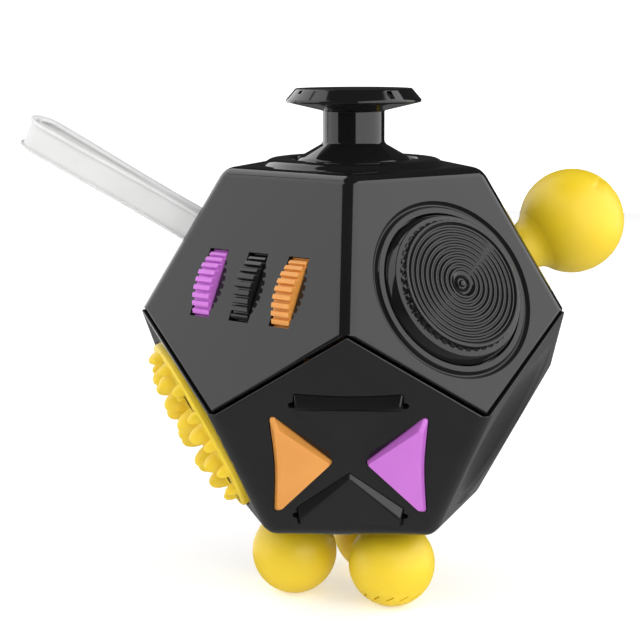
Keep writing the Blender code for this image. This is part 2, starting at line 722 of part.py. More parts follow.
for item in pieces.objects:
    if any(step.type == 'BOOLEAN' for step in item.modifiers):
        weld = item.modifiers.new("Weld", 'WELD')
        weld.merge_threshold = 0.000002
    if item.type == 'MESH':
        item.data.shade_smooth()
        item.data.set_sharp_from_angle(angle=radians(35))
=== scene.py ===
import bmesh
import bpy
import json
from math import atan, atan2, cos, degrees, pi, radians, sin, sqrt, tan
from mathutils import Matrix, Vector


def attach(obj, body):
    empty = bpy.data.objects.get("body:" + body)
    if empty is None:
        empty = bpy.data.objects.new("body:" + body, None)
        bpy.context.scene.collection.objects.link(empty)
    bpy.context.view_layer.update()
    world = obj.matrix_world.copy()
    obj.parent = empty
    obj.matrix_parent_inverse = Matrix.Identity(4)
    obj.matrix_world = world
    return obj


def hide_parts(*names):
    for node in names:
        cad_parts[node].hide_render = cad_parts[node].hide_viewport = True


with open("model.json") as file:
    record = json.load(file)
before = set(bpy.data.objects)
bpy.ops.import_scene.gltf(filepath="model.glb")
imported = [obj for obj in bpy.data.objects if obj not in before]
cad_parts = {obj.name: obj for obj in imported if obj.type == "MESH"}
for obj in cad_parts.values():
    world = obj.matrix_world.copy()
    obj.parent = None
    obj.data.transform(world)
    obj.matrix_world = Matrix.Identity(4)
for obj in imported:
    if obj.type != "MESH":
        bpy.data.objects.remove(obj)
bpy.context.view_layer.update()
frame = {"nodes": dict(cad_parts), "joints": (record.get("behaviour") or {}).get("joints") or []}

mm = 0.001
joints = {joint["name"]: joint for joint in frame["joints"]}
stickPivot = Vector(joints["joystick_tilt_x"]["pos_m"])

casing = {
    "acrossFlats": 50.0,
    "wall": 2.0,
    "edgeRound": 1.6,
    "upperRim": 0.8,
    "lowerRim": 0.4,
    "seamGap": 0.36,
    "openingRound": 0.16,
    "pivotBelowTop": 6.0,
}
half = casing["acrossFlats"] / 2
bodyCentre = stickPivot - Vector((0, 0, (half - casing["pivotBelowTop"]) * mm))
faceTilt = atan(0.5)


# places on the casing: every face has a level +X, a climbing +Y and an outward +Z

def around(radius, azimuth, height=0.0):
    turn = radians(azimuth)
    return Vector((radius * sin(turn), -radius * cos(turn), height))


def facePlace(azimuth, side):
    if abs(side) == 2:  # top or bottom
        out = Vector((0, 0, side / 2))
        level = Vector((1, 0, 0))
    else:
        out = around(cos(faceTilt), azimuth, side * sin(faceTilt))
        level = Vector((cos(radians(azimuth)), sin(radians(azimuth)), 0))
    climb = out.cross(level)
    basis = Matrix((level, climb, out)).transposed().to_4x4()
    return Matrix.Translation(bodyCentre + out * half * mm) @ basis


faces = {
    "stick": facePlace(0, 2),
    "wheels": facePlace(-36, 1),
    "dial": facePlace(36, 1),
    "ball": facePlace(108, 1),
    "strap": facePlace(-108, 1),
    "rocker": facePlace(180, 1),
    "buttons": facePlace(0, -1),
    "pad": facePlace(-72, -1),
    "dish": facePlace(72, -1),
    "slider": facePlace(-144, -1),
    "roller": facePlace(144, -1),
    "base": facePlace(0, -2),
}


def placed(face, spot=(0, 0, 0), turn=(0, 0, 0)):
    # a spot on a face in millimetres, with turns in degrees about its own axes
    step = Matrix.Translation(Vector(spot) * mm)
    for angle, axis in zip(turn, "XYZ"):
        step = step @ Matrix.Rotation(radians(angle), 4, axis)
    return faces[face] @ step


# materials

def noiseAt(tree, scale, detail, roughness=0.55):
    place = tree.nodes.new("ShaderNodeTexCoord")
    noise = tree.nodes.new("ShaderNodeTexNoise")
    noise.inputs["Scale"].default_value = scale
    noise.inputs["Detail"].default_value = detail
    noise.inputs["Roughness"].default_value = roughness
    tree.links.new(place.outputs["Object"], noise.inputs["Vector"])
    return noise.outputs["Fac"]


def spread(tree, fac, low, high):
    # a noise value carried to the range low..high
    span = tree.nodes.new("ShaderNodeMapRange")
    span.inputs["From Min"].default_value = 0.3
    span.inputs["From Max"].default_value = 0.7
    span.inputs["To Min"].default_value = low
    span.inputs["To Max"].default_value = high
    tree.links.new(fac, span.inputs["Value"])
    return span.outputs["Result"]


def mixed(tree, fac, first, second):
    ramp = tree.nodes.new("ShaderNodeValToRGB")
    ramp.color_ramp.elements[0].position = 0.32
    ramp.color_ramp.elements[0].color = (*first, 1)
    ramp.color_ramp.elements[1].position = 0.68
    ramp.color_ramp.elements[1].color = (*second, 1)
    tree.links.new(fac, ramp.inputs["Fac"])
    return ramp.outputs["Color"]


def mouldedFinish(name, finish):
    paint = bpy.data.materials.new(name)
    paint.use_nodes = True
    tree = paint.node_tree
    shader = tree.nodes["Principled BSDF"]
    cloud = noiseAt(tree, finish["cloudScale"], 3)
    tree.links.new(mixed(tree, cloud, finish["dark"], finish["light"]), shader.inputs["Base Color"])
    handling = noiseAt(tree, finish["wearScale"], 6, 0.65)
    rough = spread(tree, handling, finish["smooth"], finish["rough"])
    tree.links.new(rough, shader.inputs["Roughness"])
    grain = noiseAt(tree, finish["grainScale"], 2)
    bump = tree.nodes.new("ShaderNodeBump")
    bump.inputs["Strength"].default_value = finish["grainStrength"]
    bump.inputs["Distance"].default_value = finish["grainDepth"] * mm
    tree.links.new(grain, bump.inputs["Height"])
    tree.links.new(bump.outputs["Normal"], shader.inputs["Normal"])
    shader.inputs["Metallic"].default_value = finish.get("metallic", 0.0)
    shader.inputs["IOR"].default_value = finish.get("ior", 1.5)
    shader.inputs["Subsurface Weight"].default_value = finish.get("soft", 0.0)
    shader.inputs["Subsurface Radius"].default_value = finish.get("softReach", (1.0, 0.5, 0.2))
    shader.inputs["Subsurface Scale"].default_value = finish.get("softScale", 0.001)
    shader.inputs["Coat Weight"].default_value = finish.get("coat", 0.0)
    shader.inputs["Coat Roughness"].default_value = finish.get("coatRough", 0.05)
    shader.inputs["Sheen Weight"].default_value = finish.get("sheen", 0.0)
    shader.inputs["Sheen Roughness"].default_value = 0.4
    return paint


finishes = {
    "polishedBlack": {
        "dark": (0.006, 0.006, 0.0062), "light": (0.008, 0.008, 0.0082), "cloudScale": 60,
        "smooth": 0.05, "rough": 0.1, "wearScale": 140,
        "grainScale": 900, "grainStrength": 0.05, "grainDepth": 0.01,
    },
    "mouldedBlack": {
        "dark": (0.018, 0.018, 0.019), "light": (0.03, 0.03, 0.031), "cloudScale": 150,
        "smooth": 0.4, "rough": 0.58, "wearScale": 260,
        "grainScale": 3500, "grainStrength": 0.3, "grainDepth": 0.02,
    },
    "yellowSilicone": {
        "dark": (0.73, 0.52, 0.012), "light": (0.79, 0.57, 0.02), "cloudScale": 90,
        "smooth": 0.38, "rough": 0.5, "wearScale": 300,
        "grainScale": 2600, "grainStrength": 0.16, "grainDepth": 0.015,
        "soft": 0.25, "softReach": (1.0, 0.75, 0.15), "softScale": 0.0015,
    },
    "orangePlastic": {
        "dark": (0.65, 0.27, 0.05), "light": (0.71, 0.305, 0.065), "cloudScale": 120,
        "smooth": 0.3, "rough": 0.42, "wearScale": 400,
        "grainScale": 4200, "grainStrength": 0.18, "grainDepth": 0.012,
        "soft": 0.1, "softReach": (1.0, 0.5, 0.2), "softScale": 0.0005,
    },
    "purplePlastic": {
        "dark": (0.49, 0.135, 0.55), "light": (0.54, 0.157, 0.6), "cloudScale": 120,
        "smooth": 0.3, "rough": 0.42, "wearScale": 400,
        "grainScale": 4200, "grainStrength": 0.18, "grainDepth": 0.012,
        "soft": 0.1, "softReach": (0.8, 0.4, 1.0), "softScale": 0.0005,
    },
    "whiteSilicone": {
        "dark": (0.66, 0.66, 0.656), "light": (0.71, 0.71, 0.706), "cloudScale": 110,
        "smooth": 0.36, "rough": 0.5, "wearScale": 300,
        "grainScale": 3000, "grainStrength": 0.15, "grainDepth": 0.012,
        "soft": 0.2, "softReach": (1.0, 0.95, 0.9), "softScale": 0.001,
    },
    "greyRubber": {
        "dark": (0.10, 0.10, 0.105), "light": (0.16, 0.16, 0.165), "cloudScale": 200,
        "smooth": 0.6, "rough": 0.75, "wearScale": 300,
        "grainScale": 4000, "grainStrength": 0.4, "grainDepth": 0.02,
    },
    "springSteel": {
        "dark": (0.45, 0.45, 0.47), "light": (0.62, 0.62, 0.64), "cloudScale": 500,
        "smooth": 0.2, "rough": 0.36, "wearScale": 1500,
        "grainScale": 5000, "grainStrength": 0.2, "grainDepth": 0.01, "metallic": 1.0,
    },
}
paints = {name: mouldedFinish(name, finish) for name, finish in finishes.items()}
print("finishes mixed:", len(paints))


# shapes, in millimetres

def toMesh(name, bm, matrix, sharpAngle=35):
    bm.transform(Matrix.Scale(mm, 4))
    bm.transform(matrix)
    bmesh.ops.recalc_face_normals(bm, faces=bm.faces)
    mesh = bpy.data.meshes.new(name)
    bm.to_mesh(mesh)
    bm.free()
    mesh.shade_smooth()
    mesh.set_sharp_from_angle(angle=radians(sharpAngle))
    return mesh


def showPiece(name, mesh, finish, body, *nodes):
    item = bpy.data.objects.new(name, mesh)
    mesh.materials.clear()
    mesh.materials.append(paints[finish])
    bpy.context.scene.collection.objects.link(item)
    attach(item, body)
    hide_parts(*nodes)
    return item


def guide(mesh):
    item = bpy.data.objects.new("guide", mesh)
    bpy.context.scene.collection.objects.link(item)
    return item


def settle(item):
    # applies the modifiers of a guide object and returns its finished mesh
    graph = bpy.context.evaluated_depsgraph_get()
    mesh = bpy.data.meshes.new_from_object(item.evaluated_get(graph))
    bpy.data.objects.remove(item)
    return mesh


def carve(mesh, cutters, adders=()):
    item = guide(mesh)
    others = []
    for operation, tools in (('UNION', adders), ('DIFFERENCE', cutters)):
        for tool in tools:
            other = guide(tool)
            step = item.modifiers.new(operation.title(), 'BOOLEAN')
            step.operation = operation
            step.solver = 'EXACT'
            step.object = other
            others.append(other)
    mesh = settle(item)
    for other in others:
        bpy.data.objects.remove(other)
    return mesh


def rounded(mesh, width, segments=2, angle=50, sharpAngle=35):
    # a small radius on every edge sharper than the angle
    item = guide(mesh)
    bevel = item.modifiers.new("Round", 'BEVEL')
    bevel.width = width * mm
    bevel.segments = segments
    bevel.limit_method = 'ANGLE'
    bevel.angle_limit = radians(angle)
    bevel.miter_outer = 'MITER_ARC'
    bevel.use_clamp_overlap = True
    mesh = settle(item)
    mesh.shade_smooth()
    mesh.set_sharp_from_angle(angle=radians(sharpAngle))
    return mesh


def evened(item):
    # flat faces stay flat where a rounded edge meets them
    weigh = item.modifiers.new("Even shading", 'WEIGHTED_NORMAL')
    weigh.keep_sharp = True
    weigh.weight = 80
    return item


def lathe(profile, sides, ring=False, wave=None):
    # (radius, height) points down the outer side; wave(turn, radius, height) gives a new pair
    bm = bmesh.new()
    rows = []
    for radius, height in profile:
        if radius < 1e-6:
            rows.append([bm.verts.new((0, 0, height))])
            continue
        row = []
        for k in range(sides):
            turn = 2 * pi * k / sides
            r, h = wave(turn, radius, height) if wave else (radius, height)
            row.append(bm.verts.new((r * cos(turn), r * sin(turn), h)))
        rows.append(row)
    pairs = list(zip(rows, rows[1:]))
    if ring:
        pairs.append((rows[-1], rows[0]))
    for upper, lower in pairs:
        for k in range(sides):
            n = (k + 1) % sides
            if len(upper) == 1 and len(lower) == 1:
                continue
            if len(upper) == 1:
                bm.faces.new((upper[0], lower[k], lower[n]))
            elif len(lower) == 1:
                bm.faces.new((upper[k], lower[0], upper[n]))
            else:
                bm.faces.new((upper[k], lower[k], lower[n], upper[n]))
    return bm


def arc(radius, start, end, steps, centre=(0.0, 0.0)):
    angles = [radians(start + (end - start) * k / steps) for k in range(steps + 1)]
    return [(centre[0] + radius * sin(a), centre[1] + radius * cos(a)) for a in angles]


def smoothPath(points, rounds=2):
    # cuts the corners of an open path, keeping its ends
    for _ in range(rounds):
        path = [points[0]]
        for (ax, ay), (bx, by) in zip(points, points[1:]):
            path.append((ax * 0.75 + bx * 0.25, ay * 0.75 + by * 0.25))
            path.append((ax * 0.25 + bx * 0.75, ay * 0.25 + by * 0.75))
        path.append(points[-1])
        points = path
    return points


def prism(outline, low, high):
    bm = bmesh.new()
    base = [bm.verts.new((x, y, low)) for x, y in outline]
    crown = [bm.verts.new((x, y, high)) for x, y in outline]
    bm.faces.new(base[::-1])
    bm.faces.new(crown)
    for k in range(len(outline)):
        n = (k + 1) % len(outline)
        bm.faces.new((base[k], base[n], crown[n], crown[k]))
    return bm


def circle(radius, sides, centre=(0, 0)):
    turns = [2 * pi * k / sides for k in range(sides)]
    return [(centre[0] + radius * cos(t), centre[1] + radius * sin(t)) for t in turns]


def slotOutline(halfWidth, halfLength):
    top = [(x, y + halfLength) for x, y in arc(halfWidth, 90, -90, 12)]
    return top + [(x, y - halfLength) for x, y in arc(halfWidth, 270, 90, 12)]


def drill(face, radius, low, high, spot=(0, 0), sides=64):
    return toMesh("drill", prism(circle(radius, sides), low, high), placed(face, (spot[0], spot[1], 0)))


def box(face, size, spot=(0, 0, 0), turn=(0, 0, 0)):
    x, y, z = (length / 2 for length in size)
    outline = [(-x, -y), (x, -y), (x, y), (-x, y)]
    return toMesh("box", prism(outline, -z, z), placed(face, spot, turn))


# joystick

stick = {
    "sides": 128,
    "rimRadius": 9.56, "rimHeight": 9.25,
    "topRadius": 8.3, "topHeight": 10.8, "underHeight": 7.66,
    "neckRadius": 4.36,
    "skirtRadius": 10.5, "skirtWall": 1.2, "skirtEdge": 70,
    "notches": (-58, 36, 122, 216), "notchSize": (0.8, 0.6, 1.0),
    "bezelRadius": 13.3, "bezelHeight": 1.05, "bezelHole": 9.1, "shellHole": 10.2,
    "bossRing": 12.3, "bossRadius": 1.4, "bossFoot": -9.2,
}


def buildStick():
    rise = casing["pivotBelowTop"]
    outer, inner = stick["skirtRadius"], stick["skirtRadius"] - stick["skirtWall"]
    rim, rimZ = stick["rimRadius"], stick["rimHeight"] + rise
    top, topZ = stick["topRadius"], stick["topHeight"] + rise
    neck, under = stick["neckRadius"], stick["underHeight"] + rise
    cap = [(0, topZ - 0.3), (top * 0.5, topZ - 0.26), (top * 0.8, topZ - 0.1), (top - 0.5, topZ),
           (top - 0.12, topZ), (top, topZ - 0.08), (top + 0.1, topZ - 0.2), (rim - 0.12, rimZ + 0.14)]
    cap += arc(0.3, 45, 150, 6, (rim - 0.3, rimZ - 0.12))
    cap += [(neck + 0.25, under + 0.08), (neck + 0.06, under), (neck, under - 0.15), (neck, 3.5 + rise),
            (neck + 0.05, 3.3 + rise), (neck + 0.3, 2.95 + rise)]
    cap += arc(outer, 46, stick["skirtEdge"], 10)
    cap += arc(inner, stick["skirtEdge"], 50, 8)
    cap += [(4.0, 7.4), (1.8, 7.9), (1.8, 13.5), (0, 13.5)]
    mesh = toMesh("cap", lathe(cap, stick["sides"]), placed("stick", (0, 0, -rise)))
    wide, tall, deep = (length / 2 for length in stick["notchSize"])
    cutters = []
    for turn in stick["notches"]:  # small finger notches in the sloping rim
        spot = around(top + 0.28, turn, topZ - rise - 0.42)
        bm = prism([(-wide, -tall), (wide, -tall), (wide, tall), (-wide, tall)], -deep, deep)
        bm.transform(Matrix.Rotation(radians(turn), 4, 'Z') @ Matrix.Rotation(radians(50), 4, 'X'))
        cutters.append(toMesh("notch", bm, placed("stick", spot)))
    mesh = rounded(carve(mesh, cutters), 0.08, 2, 75)
    evened(showPiece("stick_cap", mesh, "polishedBlack", "stick", "joystick_cap"))


def stickSeat():
    # the raised collar and screw posts that the casing carries, and the holes it needs
    hole, height, outerR = stick["bezelHole"], stick["bezelHeight"], stick["bezelRadius"]
    collar = [(hole, height - 0.25), (hole + 0.08, height - 0.08), (hole + 0.3, height)]
    collar += smoothPath([(outerR - 2.1, height), (outerR - 1.3, height - 0.1), (outerR - 0.25, 0.12),
                          (outerR + 0.1, -0.05)], 2)
    collar += [(outerR, -1), (hole, -1)]
    adders = [toMesh("collar", lathe(collar, stick["sides"], ring=True), placed("stick"))]
    cutters = [drill("stick", hole, -6, height + 0.5, sides=stick["sides"]),
               drill("stick", stick["shellHole"], -4, -0.02, sides=stick["sides"])]
    for turn in (0, 144, -144):
        x, y, _ = around(stick["bossRing"], turn)
        adders.append(drill("stick", stick["bossRadius"], stick["bossFoot"], -1, (x, y), 20))
        cutters.append(drill("stick", 1.0, -10.2, -5.2, (x, y), 12))
    return adders, cutters


# gear wheels

wheels = {
    "radius": 7.5, "root": 7.0, "teeth": 42, "width": 3.0, "pitch": 7.0,
    "axleDepth": 6.1, "level": -1.15, "bore": 1.3, "toothRound": 0.1, "slotGap": 0.2,
    "crest": 0.3, "foot": 0.36,
}


def gearOutline():
    outline = []
    teeth, outer, root = wheels["teeth"], wheels["radius"], wheels["root"]
    crest, foot = wheels["crest"], wheels["foot"]
    for k in range(teeth):
        for share, radius in ((-foot, root), (-crest, outer), (crest, outer), (foot, root)):
            turn = 2 * pi * (k + share) / teeth
            outline.append((radius * cos(turn), radius * sin(turn)))
    return outline


def wheelPlace(step):
    return placed("wheels", (step * wheels["pitch"], wheels["level"], -wheels["axleDepth"]), (0, 90, 0))


def buildWheels():
    plan = (("left", -1, "purplePlastic"), ("middle", 0, "polishedBlack"), ("right", 1, "orangePlastic"))
    width = wheels["width"] / 2
    for name, step, finish in plan:
        mesh = toMesh("wheel", prism(gearOutline(), -width, width), wheelPlace(step))
        bore = toMesh("bore", prism(circle(wheels["bore"], 32), -4, 4), wheelPlace(step))
        mesh = rounded(carve(mesh, [bore]), wheels["toothRound"], 2, 40)
        evened(showPiece("wheel_" + name, mesh, finish, "wheel_" + name, "gear_wheel_" + name))


def wheelSlots():
    reach, width = wheels["radius"] + 0.35, wheels["width"] / 2 + wheels["slotGap"]
    return [toMesh("slot", prism(circle(reach, 120), -width, width), wheelPlace(step)) for step in (-1, 0, 1)]


# dial

dial = {
    "spot": (0.2, -1.25), "sides": 220,
    "foot": 10.55, "seat": 10.72, "seatDepth": 1.0, "hub": 3.0,
    "ledge": 1.45, "ledgeOuter": 9.82, "ledgeInner": 9.2,
    "top": 2.5, "wallTop": 8.85, "lineRadius": 8.38,
    "ridges": 9, "ridgePitch": 0.755, "ridgeHeight": 0.24,
    "flutes": 44, "fluteDepth": 0.2,
    "ring": 11.95, "ringWidth": 0.95, "ringDepth": 0.5,
    "boss": ((0, 0.1), (0.3, 0.11), (0.42, 0.2), (0.5, 0.42), (0.72, 0.42),
             (0.82, 0.2), (0.95, 0.1), (1.1, 0.2), (1.2, 0.42), (1.45, 0.42)),
    "underside": -2.35, "screwBore": 1.0, "screwDepth": 1.2,
}


def buildDial():
    ledge, top, line = dial["ledge"], dial["top"], dial["lineRadius"]
    foot, hub = dial["foot"], dial["hub"]

    def flute(turn, radius, height):
        # finger flutes around the upper drum, fading out under its top edge
        inSide = ledge - 0.02 < height < top - 0.06 and dial["wallTop"] - 0.1 < radius < dial["ledgeInner"]
        cut = dial["fluteDepth"] * max(0.0, sin(dial["flutes"] * turn)) ** 0.6 if inSide else 0.0
        return radius - cut, height

    profile = [(radius, top - drop) for radius, drop in dial["boss"]]
    steps = 10
    height, pitch = dial["ridgeHeight"], dial["ridgePitch"]
    first = line - dial["ridges"] * pitch
    for k in range(dial["ridges"] * steps + 1):
        wave = (1 - cos(2 * pi * k / steps)) / 2
        profile.append((first + pitch * k / steps, top - 0.05 - height + height * wave))
    wall, ledgeIn, ledgeOut = dial["wallTop"], dial["ledgeInner"], dial["ledgeOuter"]
    floor, under, bore = 0.3 - dial["seatDepth"], dial["underside"], dial["screwBore"]
    profile += [(line + 0.12, top - 0.02), (line + 0.2, top), (wall - 0.1, top), (wall - 0.03, top - 0.03),
                (wall, top - 0.1), (wall + 0.05, top - 0.3), (ledgeIn - 0.1, ledge + 0.06), (ledgeIn, ledge),
                (ledgeOut - 0.14, ledge), (ledgeOut - 0.04, ledge - 0.03), (ledgeOut + 0.02, ledge - 0.1),
                (foot - 0.03, 0.05), (foot, -0.05), (foot, floor), (hub, floor), (hub, under),
                (bore, under), (bore, dial["screwDepth"]), (0, dial["screwDepth"])]
    mesh = toMesh("dial", lathe(profile, dial["sides"], wave=flute), placed("dial", (*dial["spot"], 0)), 50)
    showPiece("dial_cap", mesh, "polishedBlack", "dial", "dial_knob")


def dialSeat():
    x, y = dial["spot"]
    inner, outer = dial["ring"] - dial["ringWidth"] / 2, dial["ring"] + dial["ringWidth"] / 2
    groove = [(inner - 0.05, 1), (outer + 0.05, 1), (outer, 0)]
    bottom = (dial["ring"], -dial["ringDepth"] * 1.3)
    groove += smoothPath([(outer, 0), bottom, (inner, 0)], 3)[1:-1] + [(inner, 0)]
    return [drill("dial", dial["seat"], -dial["seatDepth"], 1, (x, y), 160),
            drill("dial", dial["hub"] + 0.3, -4, 1, (x, y), 32),
            toMesh("groove", lathe(groove, 200, ring=True), placed("dial", (x, y, 0)))]


# press buttons: a foot outline at the casing's surface and a smaller crown outline on top

buttons = {
    "level": -1.4, "rise": 1.2, "depth": 5.0, "gap": 0.13, "flange": 0.5, "bendRound": 55.0,
    "profile": ((0, -5.0), (0, 0.04), (0.05, 0.14), (0.8, 0.99), (0.92, 1.11), (1.02, 1.18), (1.12, 1.2)),
    "plan": {
        "left": {
            "finish": "orangePlastic", "corner": 0.42, "height": 1.0,
            "foot": [(-10.39, 7.9), (-9.85, -1.0), (-10.38, -10.03), (-2.18, -0.38)],
            "crown": [(-9.65, 6.3), (-9.45, -0.6), (-9.9, -8.87), (-2.45, 0.1)],
        },
        "right": {
            "finish": "purplePlastic", "corner": 0.42, "height": 1.0,
            "foot": [(10.38, -10.03), (9.85, -1.0), (10.39, 7.9), (2.18, -0.38)],
            "crown": [(9.9, -8.87), (9.45, -0.6), (9.65, 6.3), (2.45, 0.1)],
        },
        "top": {
            "finish": "polishedBlack", "corner": 0.2, "height": 0.85,
            "foot": [(7.1, 9.3), (7.0, 11.15), (0, 10.55), (-7.0, 11.15), (-7.1, 9.3), (0, 2.2)],
            "crown": [(6.72, 9.12), (6.6, 9.42), (0, 8.6), (-6.6, 9.42), (-6.72, 9.12), (0, 2.6)],
        },
        "bottom": {
            "finish": "polishedBlack", "corner": 0.2, "height": 0.6,
            "foot": [(-7.2, -8.7), (-7.1, -11.6), (0, -11.2), (7.1, -11.6), (7.2, -8.7), (0, -2.4)],
            "crown": [(-6.8, -10.4), (-6.6, -11.2), (0, -10.6), (6.6, -11.2), (6.8, -10.4), (0, -2.85)],
        },
    },
    "ears": ((-7.35, 9.3), (7.35, 9.3), (-7.4, -10.1), (7.4, -10.1)), "earRadius": 0.5,
}


def roundCorners(corners, radii, steps=8):
    outline = []
    for k, corner in enumerate(corners):
        here = Vector(corner)
        back = (Vector(corners[k - 1]) - here).normalized()
        ahead = (Vector(corners[(k + 1) % len(corners)]) - here).normalized()
        halfAngle = back.angle(ahead) / 2
        centre = here + (back + ahead).normalized() * radii[k] / sin(halfAngle)
        start = here + back * radii[k] / tan(halfAngle) - centre
        end = here + ahead * radii[k] / tan(halfAngle) - centre
        for step in range(steps + 1):
            point = centre + start.slerp(end, step / steps) * radii[k]
            outline.append((point.x, point.y))
    return outline


def buttonOutline(points, corner, grow=0.0):
    # moves every side out by grow, rounds the corners and bends the hollow side smoothly
    grown, radii = [], []
    for k, point in enumerate(points):
        here = Vector(point)
        back = (Vector(points[k - 1]) - here).normalized()
        ahead = (Vector(points[(k + 1) % len(points)]) - here).normalized()
        reach = grow / sin(back.angle(ahead) / 2)
        convex = ahead.cross(back) > 0
        grown.append(here + (back + ahead).normalized() * (-reach if convex else reach))
        radii.append(corner + grow if convex else buttons["bendRound"])
    return [(x, y + buttons["level"]) for x, y in roundCorners(grown, radii)]


def buildButtons():
    for name, plan in buttons["plan"].items():
        foot = buttonOutline(plan["foot"], plan["corner"])
        crown = buttonOutline(plan["crown"], plan["corner"])
        bm = bmesh.new()
        rows = []
        for share, height in buttons["profile"]:
            tall = height * (plan["height"] if height > 0 else 1)
            rows.append([bm.verts.new((fx + (cx - fx) * share, fy + (cy - fy) * share, tall))
                         for (fx, fy), (cx, cy) in zip(foot, crown)])
        count = len(foot)
        for lower, upper in zip(rows, rows[1:]):
            for k in range(count):
                n = (k + 1) % count
                bm.faces.new((lower[k], lower[n], upper[n], upper[k]))
        bm.faces.new(rows[0][::-1])
        bm.faces.new(rows[-1])
        low = -casing["wall"] - 1.2
        rim = buttonOutline(plan["foot"], plan["corner"], buttons["flange"])
        flange = toMesh("flange", prism(rim, low, low + 0.9), placed("buttons"))
        mesh = carve(toMesh("button", bm, placed("buttons")), [], [flange])
        mesh.shade_smooth()
        mesh.set_sharp_from_angle(angle=radians(50))
        evened(showPiece("press_" + name, mesh, plan["finish"], "key_" + name, "button_" + name))


def buttonWindows():
    cutters = []
    for plan in buttons["plan"].values():
        outline = buttonOutline(plan["foot"], plan["corner"], buttons["gap"])
        cutters.append(toMesh("window", prism(outline, -4, 4), placed("buttons")))
    for x, y in buttons["ears"]:
        cutters.append(drill("buttons", buttons["earRadius"], -4, 4, (x, y + buttons["level"]), 24))
    adders = []
    for side in (-1, 1):
        spot = (side * 13.0, buttons["level"])
        adders.append(drill("buttons", 1.4, -8.3, -1, spot, 20))
        cutters.append(drill("buttons", 1.0, -10.2, -4.2, spot, 12))
    return adders, cutters


# nub pad

pad = {
    "radius": 13.0, "rise": 0.9, "recess": 0.8, "post": 3.0, "sides": 128,
    "rows": ((0.0, 1, 1.9, 3.0), (4.7, 6, 1.7, 2.8), (8.5, 11, 1.5, 2.4), (11.4, 16, 0.9, 1.5)),
    "between": (6.6, 6, 0.6, 1.0),
    "fullness": (0.92, 1.3), "nubSteps": 9,
    "nubFoot": ((1.02, 0.1), (1.1, 0.0), (1.18, -0.06), (1.18, -0.5)),
}


def nubProfile(radius, height):
    # a blunt egg with a small fillet at its foot
    wide, tall = pad["fullness"]
    path = []
    for k in range(pad["nubSteps"]):
        turn = radians(90 * k / pad["nubSteps"])
        path.append((radius * sin(turn) ** wide, height * cos(turn) ** tall))
    path += [(radius * share, level) for share, level in pad["nubFoot"]]
    return path + [(0, pad["nubFoot"][-1][1])]


def buildPad():
    radius, rise, foot = pad["radius"], pad["rise"], 0.3 - pad["recess"]
    disc = [(0, rise), (radius - 1.0, rise)] + arc(0.4, 5, 90, 6, (radius - 0.4, rise - 0.4))
    disc += [(radius, foot), (pad["post"], foot), (pad["post"], -2.6), (2.4, -2.6), (2.4, -4.0), (0, -4.0)]
    mesh = toMesh("disc", lathe(disc, pad["sides"]), placed("pad"))
    nubs = []
    for ring, count, nubRadius, height in (*pad["rows"], pad["between"]):
        offset = 180 / count if (ring, count, nubRadius, height) == pad["between"] else 0
        for k in range(count):
            x, y, _ = around(ring, 360 * k / count + offset)
            nubs.append(toMesh("nub", lathe(nubProfile(nubRadius, height), 28), placed("pad", (x, y, rise))))
    mesh = carve(mesh, [], nubs)
    mesh.shade_smooth()
    mesh.set_sharp_from_angle(angle=radians(50))
    evened(showPiece("nub_pad", mesh, "yellowSilicone", "casing", "massage_pad"))


def padSeat():
    return [drill("pad", pad["radius"] + 0.25, -pad["recess"], 1, sides=pad["sides"]),
            drill("pad", pad["post"] + 0.3, -4, 1, sides=32)]


# soft balls

balls = {
    "squeeze": {"spot": (0, -0.8), "radius": 7.7, "out": 12.3, "neck": 3.5, "flare": 1.3},
    "base": {"ring": 8.8, "turns": (40, -80, 160), "radius": 6.2, "out": 6.6, "neck": 2.5, "flare": 0.6},
    "plugWider": 1.6, "plugThick": 1.1, "sides": 180,
    "swirl": {"arms": 3, "first": 118, "bend": 22, "from": 9, "to": 62, "depth": 0.2, "width": 0.32},
    "slits": {"count": 15, "first": 3, "polar": 51, "size": (1.6, 0.3, 0.7), "slant": 42},
}


def swirlDepth(polar, turn):
    # shallow curved creases that run from near the tip down the ball
    swirl = balls["swirl"]
    low, high = swirl["from"], swirl["to"]
    if not low - 6 < polar < high + 6:
        return 0.0
    along = (polar - low) / (high - low)
    fade = max(0.0, min(1.0, 6 * along + 0.6, 6 * (1 - along) + 0.6))
    deepest = 0.0
    for arm in range(swirl["arms"]):
        middle = swirl["first"] + 360 * arm / swirl["arms"] + swirl["bend"] * cos(pi * along) ** 2
        away = (turn - middle + 180) % 360 - 180
        reach = balls["squeeze"]["radius"] * sin(radians(polar)) * radians(away)
        step = max(0.0, 1 - abs(reach) / swirl["width"]) if reach < 0 else max(0.0, 1 - reach / 1.6)
        deepest = max(deepest, step)
    return swirl["depth"] * fade * deepest


